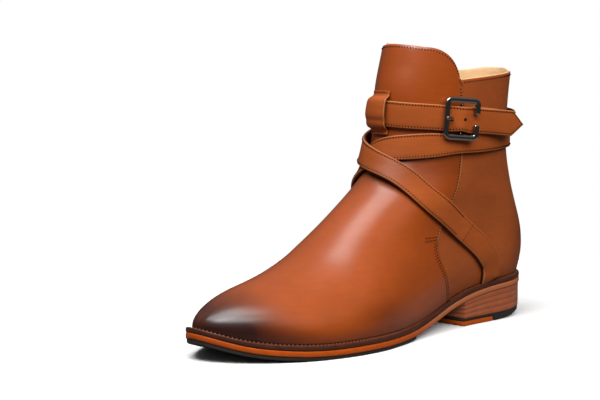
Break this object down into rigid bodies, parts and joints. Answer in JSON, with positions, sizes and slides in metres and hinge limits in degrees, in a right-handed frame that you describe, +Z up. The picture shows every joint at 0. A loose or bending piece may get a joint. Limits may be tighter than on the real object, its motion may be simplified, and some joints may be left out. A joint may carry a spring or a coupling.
{
  "type": "strapped ankle boot",
  "caption": "Low-heeled ankle boot with a hollow leather upper, straps wrapped round the ankle to a side buckle, a welted leather sole and a stacked heel.",
  "frame": {"origin": "on the floor, under the middle of the boot's box", "axes": "+Y towards the heel and -Y towards the toe, +X to the outer side, +Z up"},
  "size_m": [0.1068, 0.3045, 0.1989],
  "materials": {
    "burnished_calf": "smooth calf, hand burnished, soft gloss",
    "lining_leather": "undyed lining leather, matt",
    "welt_leather": "stained and waxed, with a stitched top",
    "sole_leather": "trimmed, dyed and waxed edge",
    "stack_leather": "stacked leather, stained and waxed",
    "sole_rubber": "black rubber, matt",
    "buckle_metal": "dark nickel plating, polished"
  },
  "bodies": {
    "root": {"upper": "burnished_calf", "outer_strap": "burnished_calf", "inner_strap": "burnished_calf", "front_loop": "burnished_calf", "insole": "lining_leather", "welt": "welt_leather", "leather_sole": "sole_leather", "heel_leather": "sole_leather", "heel_stack": "stack_leather", "forefoot_rubber": "sole_rubber", "heel_rubber": "sole_rubber", "buckle_frame": "buckle_metal", "buckle_pin": "buckle_metal", "buckle_prong": "buckle_metal"}
  },
  "joints": []
}
